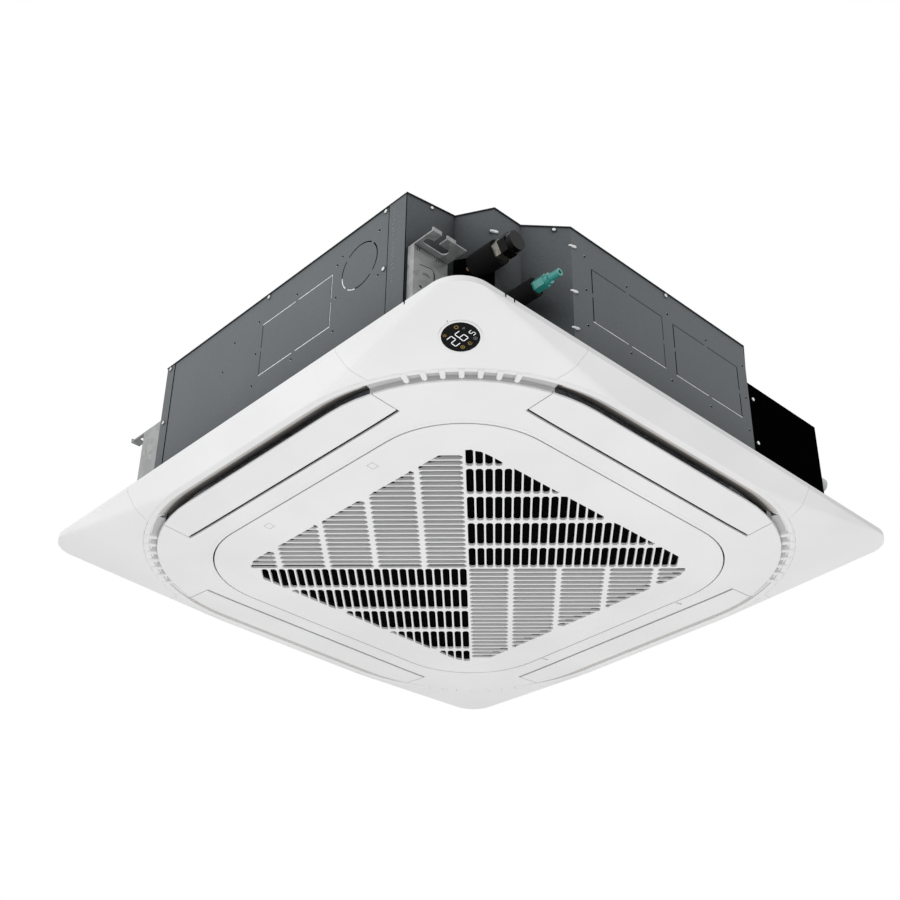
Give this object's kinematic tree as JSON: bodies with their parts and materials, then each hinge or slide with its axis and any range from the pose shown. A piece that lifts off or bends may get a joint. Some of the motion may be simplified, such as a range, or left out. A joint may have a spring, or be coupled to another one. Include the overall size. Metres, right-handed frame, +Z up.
{
  "type": "ceiling cassette air conditioner",
  "caption": "Four-way ceiling cassette unit: square panel with drop-down intake grille, swinging air flaps, steel casing with fan and coil, hung from slotted brackets.",
  "frame": {"origin": "midway between the centres of the four hanger slots, on the underside of the hanger tabs", "axes": "+Z up; X and Y along the casing's sides, the refrigerant pipes leave towards -Y beside the -X side"},
  "size_m": [0.95, 0.95, 0.3122],
  "materials": {
    "casing_steel": "satin",
    "grey_liner": "matte",
    "galvanised_steel": "satin",
    "bright_screw": "satin",
    "foam": "matte",
    "coil_fins": "satin",
    "copper": "satin",
    "black_foam": "matte",
    "nickel_nut": "satin",
    "black_plastic": "satin",
    "teal_plastic": "satin",
    "white_plastic": "satin",
    "display_black": "gloss",
    "circuit_board": "satin",
    "pale_plastic": "satin",
    "motor_shell": "satin",
    "filter_frame": "matte",
    "filter_mesh": "matte"
  },
  "bodies": {
    "base": {"casing_shell": "casing_steel", "top_plate": "casing_steel", "casing_screws": "bright_screw", "hanger_bracket_1": "galvanised_steel", "hanger_bracket_2": "galvanised_steel", "hanger_bracket_3": "galvanised_steel", "hanger_bracket_4": "galvanised_steel", "foam_liner": "foam", "drain_pan": "foam", "fin_pack": "coil_fins", "return_bends": "copper", "coil_end_plates": "galvanised_steel", "gas_pipe": "copper", "liquid_pipe": "copper", "gas_sleeve": "black_foam", "liquid_sleeve": "black_foam", "gas_flare_nut": "nickel_nut", "gas_cap": "black_plastic", "liquid_fitting": "teal_plastic", "pipe_plate_black": "black_plastic", "drain_cover": "black_plastic", "drain_pump": "pale_plastic", "float_switch": "pale_plastic", "drain_outlet": "pale_plastic", "fan_motor": "motor_shell", "motor_bushes": "black_foam", "bellmouth": "pale_plastic", "control_box": "galvanised_steel", "control_lid": "galvanised_steel", "control_board": "circuit_board", "terminal_block": "pale_plastic", "panel_frame": "white_plastic", "centre_frame": "white_plastic", "corner_cover_1": "white_plastic", "corner_cover_2": "white_plastic", "corner_cover_3": "white_plastic", "corner_cover_4": "white_plastic", "display_bezel": "white_plastic", "display_lens": "display_black", "display_board": "circuit_board", "flap_motors": "galvanised_steel", "outlet_liners": "grey_liner", "latch_housings": "pale_plastic", "panel_screws": "bright_screw"},
    "grille": {"intake_grille": "white_plastic", "filter_frame": "filter_frame", "filter_mesh": "filter_mesh"},
    "flap_1": {"flap_1": "white_plastic"},
    "flap_2": {"flap_2": "white_plastic"},
    "flap_3": {"flap_3": "white_plastic"},
    "flap_4": {"flap_4": "white_plastic"},
    "latch_1": {"latch_plunger_1": "pale_plastic"},
    "latch_2": {"latch_plunger_2": "pale_plastic"},
    "fan": {"fan_wheel": "pale_plastic", "fan_nut": "bright_screw"},
    "float": {"float_ring": "pale_plastic"}
  },
  "joints": [
    {"name": "flap_1_swing", "type": "hinge", "parent": "base", "child": "flap_1", "pos_m": [0.3712, 0, -0.192], "axis": [0, 1, 0], "range_deg": [0, 50]},
    {"name": "flap_2_swing", "type": "hinge", "parent": "base", "child": "flap_2", "pos_m": [0, 0.3712, -0.192], "axis": [-1, 0, 0], "range_deg": [0, 50]},
    {"name": "flap_3_swing", "type": "hinge", "parent": "base", "child": "flap_3", "pos_m": [-0.3712, 0, -0.192], "axis": [0, -1, 0], "range_deg": [0, 50]},
    {"name": "flap_4_swing", "type": "hinge", "parent": "base", "child": "flap_4", "pos_m": [0, -0.3712, -0.192], "axis": [1, 0, 0], "range_deg": [0, 50]},
    {"name": "grille_drop", "type": "hinge", "parent": "base", "child": "grille", "pos_m": [0.336, 0, -0.203], "axis": [0, -1, 0], "range_deg": [0, 90]},
    {"name": "latch_1_press", "type": "slide", "parent": "base", "child": "latch_1", "axis": [0, 0, 1], "range_m": [0, 0.004], "stiffness_N_per_m": 250, "springref_m": -0.002},
    {"name": "latch_2_press", "type": "slide", "parent": "base", "child": "latch_2", "axis": [0, 0, 1], "range_m": [0, 0.004], "stiffness_N_per_m": 250, "springref_m": -0.002},
    {"name": "fan_spin", "type": "hinge", "parent": "base", "child": "fan", "pos_m": [0, 0, -0.052], "axis": [0, 0, 1], "continuous": true},
    {"name": "float_rise", "type": "slide", "parent": "base", "child": "float", "axis": [0, 0, 1], "range_m": [0, 0.01]}
  ]
}
